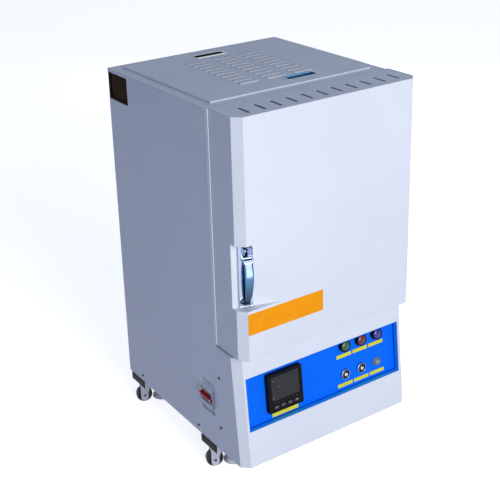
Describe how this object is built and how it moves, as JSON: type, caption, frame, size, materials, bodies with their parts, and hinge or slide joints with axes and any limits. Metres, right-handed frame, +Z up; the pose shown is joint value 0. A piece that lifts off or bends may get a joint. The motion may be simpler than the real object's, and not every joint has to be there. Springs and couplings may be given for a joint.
{
  "type": "muffle furnace",
  "caption": "Floor-standing muffle furnace: pale sheet-steel cabinet on levelling casters, side-hinged door with a recessed grip, sloped control console, louvred lid.",
  "frame": {"origin": "on the floor, under the middle of the whole furnace with its door", "axes": "+X to the right as seen by someone facing the door, +Y to the back, +Z up; the door faces -Y"},
  "size_m": [0.514, 0.5422, 0.9141],
  "materials": {
    "powder_coat": "satin powder coat, very pale cool white",
    "bare_steel": "zinc-plated sheet",
    "recess_blue": "satin bright blue",
    "vent_brown": "matt dark brown",
    "fibre": "matt fibre board",
    "ceramic": "matt fired ceramic",
    "hearth": "matt dark ceramic",
    "element_alloy": "oxidised heating alloy",
    "black_plastic": "matt black",
    "lens_green": "glossy dark green",
    "lens_red": "glossy deep red",
    "lens_blue": "glossy deep blue",
    "chrome": "polished",
    "grey_plastic": "satin grey",
    "breaker_grey": "satin light grey",
    "red_plastic": "glossy red",
    "die_cast": "silver-painted casting",
    "wheel_black": "satin black nylon",
    "foot_rubber": "matt black rubber"
  },
  "bodies": {
    "carcass": {"side_panel_left": "powder_coat", "side_panel_right": "powder_coat", "back_panel": "powder_coat", "base_pan": "powder_coat", "top_rim": "powder_coat", "front_frame": "bare_steel", "console_front": "powder_coat", "control_tray": "recess_blue", "divider_shelf": "bare_steel", "vent_grille": "vent_brown", "insulation": "fibre", "muffle": "ceramic", "heating_elements": "element_alloy", "hearth_plate": "hearth", "thermocouple": "ceramic", "exhaust_pipe": "bare_steel", "base_channels": "powder_coat", "caster_plates": "bare_steel", "controller": "black_plastic", "lamp_left": "lens_green", "lamp_middle": "lens_red", "lamp_right": "lens_blue", "button_collars": "bare_steel", "buzzer": "grey_plastic", "breaker_body": "breaker_grey", "breaker_rail": "bare_steel", "hinge_leaf_body": "bare_steel"},
    "door": {"door_shell": "powder_coat", "door_back": "bare_steel", "door_plug": "fibre", "door_seal": "fibre", "hinge_leaf_door": "bare_steel", "handle": "chrome"},
    "thumb_lever": {"thumb_lever": "chrome"},
    "latch_bolt": {"latch_bolt": "bare_steel"},
    "lid": {"lid": "powder_coat", "lid_pulls": "chrome"},
    "button_left": {"button_left": "chrome"},
    "button_middle": {"button_middle": "chrome"},
    "key_1": {"key_1": "grey_plastic"},
    "key_2": {"key_2": "grey_plastic"},
    "key_3": {"key_3": "grey_plastic"},
    "key_4": {"key_4": "grey_plastic"},
    "breaker_toggle": {"breaker_toggle": "red_plastic"},
    "fork_fl": {"fork_fl": "die_cast"},
    "wheel_fl": {"wheel_fl": "wheel_black"},
    "dial_fl": {"dial_fl": "red_plastic"},
    "foot_fl": {"foot_fl": "foot_rubber"},
    "fork_fr": {"fork_fr": "die_cast"},
    "wheel_fr": {"wheel_fr": "wheel_black"},
    "dial_fr": {"dial_fr": "red_plastic"},
    "foot_fr": {"foot_fr": "foot_rubber"},
    "fork_rl": {"fork_rl": "die_cast"},
    "wheel_rl": {"wheel_rl": "wheel_black"},
    "dial_rl": {"dial_rl": "red_plastic"},
    "foot_rl": {"foot_rl": "foot_rubber"},
    "fork_rr": {"fork_rr": "die_cast"},
    "wheel_rr": {"wheel_rr": "wheel_black"},
    "dial_rr": {"dial_rr": "red_plastic"},
    "foot_rr": {"foot_rr": "foot_rubber"}
  },
  "joints": [
    {"name": "door_swing", "type": "hinge", "parent": "carcass", "child": "door", "pos_m": [0.251, -0.168, 0.6335], "axis": [0, 0, 1], "range_deg": [0, 110]},
    {"name": "thumb_press", "type": "hinge", "parent": "door", "child": "thumb_lever", "pos_m": [-0.22397, -0.25274, 0.6115], "axis": [0.9518, -0.3069, 0], "range_deg": [0, 15]},
    {"name": "latch_slide", "type": "slide", "parent": "door", "child": "latch_bolt", "axis": [0, -1, 0], "range_m": [0, 0.008], "stiffness_N_per_m": 400, "springref_m": -0.0015},
    {"name": "lid_lift", "type": "slide", "parent": "carcass", "child": "lid", "axis": [0, 0, 1], "range_m": [0, 0.08]},
    {"name": "button_left_press", "type": "slide", "parent": "carcass", "child": "button_left", "axis": [0, 0.9955, -0.0952], "range_m": [0, 0.0025], "stiffness_N_per_m": 300},
    {"name": "button_middle_press", "type": "slide", "parent": "carcass", "child": "button_middle", "axis": [0, 0.9955, -0.0952], "range_m": [0, 0.0025], "stiffness_N_per_m": 300},
    {"name": "key_1_press", "type": "slide", "parent": "carcass", "child": "key_1", "axis": [0, 0.9955, -0.0952], "range_m": [0, 0.0008], "stiffness_N_per_m": 60},
    {"name": "key_2_press", "type": "slide", "parent": "carcass", "child": "key_2", "axis": [0, 0.9955, -0.0952], "range_m": [0, 0.0008], "stiffness_N_per_m": 60},
    {"name": "key_3_press", "type": "slide", "parent": "carcass", "child": "key_3", "axis": [0, 0.9955, -0.0952], "range_m": [0, 0.0008], "stiffness_N_per_m": 60},
    {"name": "key_4_press", "type": "slide", "parent": "carcass", "child": "key_4", "axis": [0, 0.9955, -0.0952], "range_m": [0, 0.0008], "stiffness_N_per_m": 60},
    {"name": "breaker_switch", "type": "hinge", "parent": "carcass", "child": "breaker_toggle", "pos_m": [-0.244, -0.123, 0.203], "axis": [0, 1, 0], "range_deg": [-35, 35]},
    {"name": "swivel_fl", "type": "hinge", "parent": "carcass", "child": "fork_fl", "pos_m": [-0.2085, -0.12, 0.05], "axis": [0, 0, 1], "continuous": true},
    {"name": "roll_fl", "type": "hinge", "parent": "fork_fl", "child": "wheel_fl", "pos_m": [-0.22823, -0.11282, 0.021], "axis": [0.342, 0.9397, 0], "continuous": true},
    {"name": "dial_turn_fl", "type": "hinge", "parent": "fork_fl", "child": "dial_fl", "pos_m": [-0.18407, -0.12889, 0.03], "axis": [0, 0, 1], "range_deg": [0, 1080]},
    {"name": "foot_lower_fl", "type": "slide", "parent": "fork_fl", "child": "foot_fl", "axis": [0, 0, -1], "range_m": [0, 0.006]},
    {"name": "swivel_fr", "type": "hinge", "parent": "carcass", "child": "fork_fr", "pos_m": [0.2085, -0.12, 0.05], "axis": [0, 0, 1], "continuous": true},
    {"name": "roll_fr", "type": "hinge", "parent": "fork_fr", "child": "wheel_fr", "pos_m": [0.18877, -0.11282, 0.021], "axis": [0.342, 0.9397, 0], "continuous": true},
    {"name": "dial_turn_fr", "type": "hinge", "parent": "fork_fr", "child": "dial_fr", "pos_m": [0.23293, -0.12889, 0.03], "axis": [0, 0, 1], "range_deg": [0, 1080]},
    {"name": "foot_lower_fr", "type": "slide", "parent": "fork_fr", "child": "foot_fr", "axis": [0, 0, -1], "range_m": [0, 0.006]},
    {"name": "swivel_rl", "type": "hinge", "parent": "carcass", "child": "fork_rl", "pos_m": [-0.2085, 0.226, 0.05], "axis": [0, 0, 1], "continuous": true},
    {"name": "roll_rl", "type": "hinge", "parent": "fork_rl", "child": "wheel_rl", "pos_m": [-0.22823, 0.23318, 0.021], "axis": [0.342, 0.9397, 0], "continuous": true},
    {"name": "dial_turn_rl", "type": "hinge", "parent": "fork_rl", "child": "dial_rl", "pos_m": [-0.18407, 0.21711, 0.03], "axis": [0, 0, 1], "range_deg": [0, 1080]},
    {"name": "foot_lower_rl", "type": "slide", "parent": "fork_rl", "child": "foot_rl", "axis": [0, 0, -1], "range_m": [0, 0.006]},
    {"name": "swivel_rr", "type": "hinge", "parent": "carcass", "child": "fork_rr", "pos_m": [0.2085, 0.226, 0.05], "axis": [0, 0, 1], "continuous": true},
    {"name": "roll_rr", "type": "hinge", "parent": "fork_rr", "child": "wheel_rr", "pos_m": [0.18877, 0.23318, 0.021], "axis": [0.342, 0.9397, 0], "continuous": true},
    {"name": "dial_turn_rr", "type": "hinge", "parent": "fork_rr", "child": "dial_rr", "pos_m": [0.23293, 0.21711, 0.03], "axis": [0, 0, 1], "range_deg": [0, 1080]},
    {"name": "foot_lower_rr", "type": "slide", "parent": "fork_rr", "child": "foot_rr", "axis": [0, 0, -1], "range_m": [0, 0.006]}
  ],
  "couplings": [
    {"joint": "thumb_press", "follows": "latch_slide", "rad_per_m": 32.725},
    {"joint": "dial_turn_fl", "follows": "foot_lower_fl", "rad_per_m": 3141.6},
    {"joint": "dial_turn_fr", "follows": "foot_lower_fr", "rad_per_m": 3141.6},
    {"joint": "dial_turn_rl", "follows": "foot_lower_rl", "rad_per_m": 3141.6},
    {"joint": "dial_turn_rr", "follows": "foot_lower_rr", "rad_per_m": 3141.6}
  ]
}
